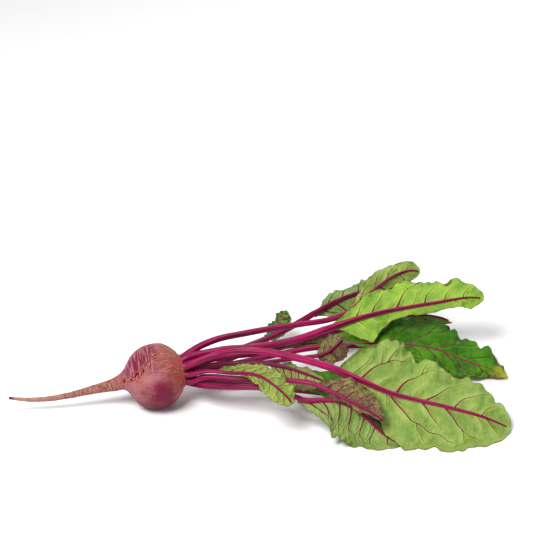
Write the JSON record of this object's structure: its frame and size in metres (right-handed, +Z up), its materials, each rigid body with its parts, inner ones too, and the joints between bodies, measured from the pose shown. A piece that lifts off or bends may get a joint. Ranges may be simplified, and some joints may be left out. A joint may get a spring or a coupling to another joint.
{
  "type": "beetroot",
  "caption": "Beetroot as picked, lying down: round purple-red root with a long tapering tail and a fan of magenta stalks with green, red-veined leaves.",
  "frame": {"origin": "middle of the small flat spot under the root, on the surface it rests on", "axes": "+X from the root towards the leaf tips, +Y across the fan of leaves, +Z up"},
  "size_m": [0.4773, 0.2313, 0.0832],
  "materials": {
    "root_skin": "satin",
    "stalk": "satin",
    "pale_blade": "satin",
    "deep_blade": "satin",
    "bronze_blade": "satin"
  },
  "bodies": {
    "root": {"root": "root_skin", "leaf_01_stalk": "stalk", "leaf_01_blade": "pale_blade", "leaf_02_stalk": "stalk", "leaf_02_blade": "pale_blade", "leaf_03_stalk": "stalk", "leaf_03_blade": "pale_blade", "leaf_04_stalk": "stalk", "leaf_04_blade": "deep_blade", "leaf_05_stalk": "stalk", "leaf_05_blade": "deep_blade", "leaf_06_stalk": "stalk", "leaf_06_blade": "pale_blade", "leaf_07_stalk": "stalk", "leaf_07_blade": "bronze_blade", "leaf_08_stalk": "stalk", "leaf_08_blade": "pale_blade", "leaf_09_stalk": "stalk", "leaf_09_blade": "pale_blade", "leaf_10_stalk": "stalk", "leaf_10_blade": "bronze_blade", "leaf_11_stalk": "stalk", "leaf_11_blade": "pale_blade", "leaf_12_stalk": "stalk", "leaf_12_blade": "deep_blade", "leaf_13_stalk": "stalk", "leaf_13_blade": "deep_blade"}
  },
  "joints": []
}
